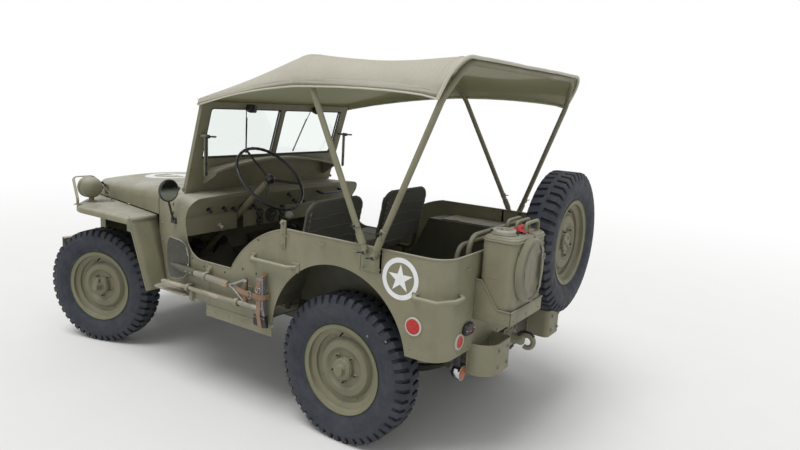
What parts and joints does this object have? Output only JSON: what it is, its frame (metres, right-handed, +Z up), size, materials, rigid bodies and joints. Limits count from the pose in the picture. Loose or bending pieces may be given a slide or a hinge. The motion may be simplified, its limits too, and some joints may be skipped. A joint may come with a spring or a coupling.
{
  "type": "open light 4x4 car",
  "caption": "Open quarter-ton army 4x4 car with folding-bow canvas top, spare wheel, fuel can and tools; wheels, steering, hood and passenger seat move.",
  "frame": {"origin": "on the ground under the middle of the car's box", "axes": "+X forward, +Y to the car's left, +Z up"},
  "size_m": [3.37, 1.6022, 1.832],
  "materials": {
    "olive_paint": "matt, sun faded",
    "chassis_paint": "matt, dusty",
    "engine_paint": "satin, oily",
    "painted_black": "satin",
    "exhaust_steel": "rusty",
    "tyre_rubber": "matt",
    "top_canvas": "woven cotton duck",
    "bucket_canvas": "woven cotton duck",
    "seat_canvas": "woven cotton duck",
    "window_glass": "clear",
    "wheel_plastic": "moulded, worn",
    "lamp_red": "clear red lens on a painted base"
  },
  "bodies": {
    "root": {"axles": "chassis_paint", "canopy": "top_canvas", "canopy_bows": "olive_paint", "canvas_bucket": "bucket_canvas", "chassis_frame": "chassis_paint", "cowl": "olive_paint", "driveline": "chassis_paint", "driver_seat_frame": "olive_paint", "engine": "engine_paint", "exhaust": "exhaust_steel", "fenders": "olive_paint", "front_bumper": "olive_paint", "front_lamps": "olive_paint", "fuel_tank": "olive_paint", "grab_handles": "olive_paint", "grille": "olive_paint", "jerry_can": "olive_paint", "leaf_springs": "chassis_paint", "mirror": "painted_black", "pedals_and_levers": "painted_black", "pioneer_tools": "olive_paint", "rear_bumpers": "olive_paint", "rear_carriers": "olive_paint", "rear_lamps": "lamp_red", "rear_seat_frame": "olive_paint", "seat_brackets": "olive_paint", "seat_cushions": "seat_canvas", "steering_column": "olive_paint", "tub_floor": "olive_paint", "tub_rear_panel": "olive_paint", "tub_sides": "olive_paint", "tyre_spare": "tyre_rubber", "wheel_spare": "olive_paint", "windscreen_frame": "olive_paint", "windscreen_glass": "window_glass"},
    "knuckle_left": {"knuckle_left": "chassis_paint"},
    "knuckle_right": {"knuckle_right": "chassis_paint"},
    "tie_rod": {"tie_rod": "chassis_paint"},
    "steering_wheel": {"steering_wheel": "wheel_plastic"},
    "hood": {"hood": "olive_paint"},
    "passenger_seat": {"passenger_seat_frame": "olive_paint", "passenger_seat_cushions": "seat_canvas"},
    "wheel_front_left": {"wheel_front_left": "olive_paint", "tyre_front_left": "tyre_rubber"},
    "wheel_front_right": {"wheel_front_right": "olive_paint", "tyre_front_right": "tyre_rubber"},
    "wheel_rear_left": {"wheel_rear_left": "olive_paint", "tyre_rear_left": "tyre_rubber"},
    "wheel_rear_right": {"wheel_rear_right": "olive_paint", "tyre_rear_right": "tyre_rubber"}
  },
  "joints": [
    {"name": "spin_front_left", "type": "hinge", "parent": "knuckle_left", "child": "wheel_front_left", "pos_m": [1.09176, 0.61813, 0.366], "axis": [-0.2924, 0.9563, 0], "continuous": true},
    {"name": "spin_front_right", "type": "hinge", "parent": "knuckle_right", "child": "wheel_front_right", "pos_m": [1.15024, -0.61813, 0.366], "axis": [-0.2924, 0.9563, 0], "continuous": true},
    {"name": "spin_rear_left", "type": "hinge", "parent": "root", "child": "wheel_rear_left", "pos_m": [-0.911, 0.6225, 0.366], "axis": [0, 1, 0], "continuous": true},
    {"name": "spin_rear_right", "type": "hinge", "parent": "root", "child": "wheel_rear_right", "pos_m": [-0.911, -0.6225, 0.366], "axis": [0, 1, 0], "continuous": true},
    {"name": "steer_left", "type": "hinge", "parent": "root", "child": "knuckle_left", "pos_m": [1.121, 0.5225, 0.366], "axis": [0, 0, 1], "range_deg": [-43, 9]},
    {"name": "steer_right", "type": "hinge", "parent": "root", "child": "knuckle_right", "pos_m": [1.121, -0.5225, 0.366], "axis": [0, 0, 1], "range_deg": [-43, 9]},
    {"name": "tie_rod_pivot", "type": "hinge", "parent": "knuckle_left", "child": "tie_rod", "pos_m": [1.26445, 0.56636, 0.392], "axis": [0, 0, 1], "range_deg": [-9, 43]},
    {"name": "steering_wheel_turn", "type": "hinge", "parent": "root", "child": "steering_wheel", "pos_m": [-0.09, 0.34, 1.17], "axis": [-0.7314, 0, 0.682], "range_deg": [-602, 126]},
    {"name": "hood_lift", "type": "hinge", "parent": "root", "child": "hood", "pos_m": [0.559, 0, 1.082], "axis": [0, -1, 0], "range_deg": [0, 110]},
    {"name": "passenger_seat_tip", "type": "hinge", "parent": "root", "child": "passenger_seat", "pos_m": [-0.13, -0.3375, 0.558], "axis": [0, 1, 0], "range_deg": [0, 50]}
  ],
  "couplings": [
    {"joint": "steer_right", "follows": "steer_left", "ratio": 1},
    {"joint": "tie_rod_pivot", "follows": "steer_left", "ratio": -1},
    {"joint": "steering_wheel_turn", "follows": "steer_left", "ratio": 14}
  ]
}
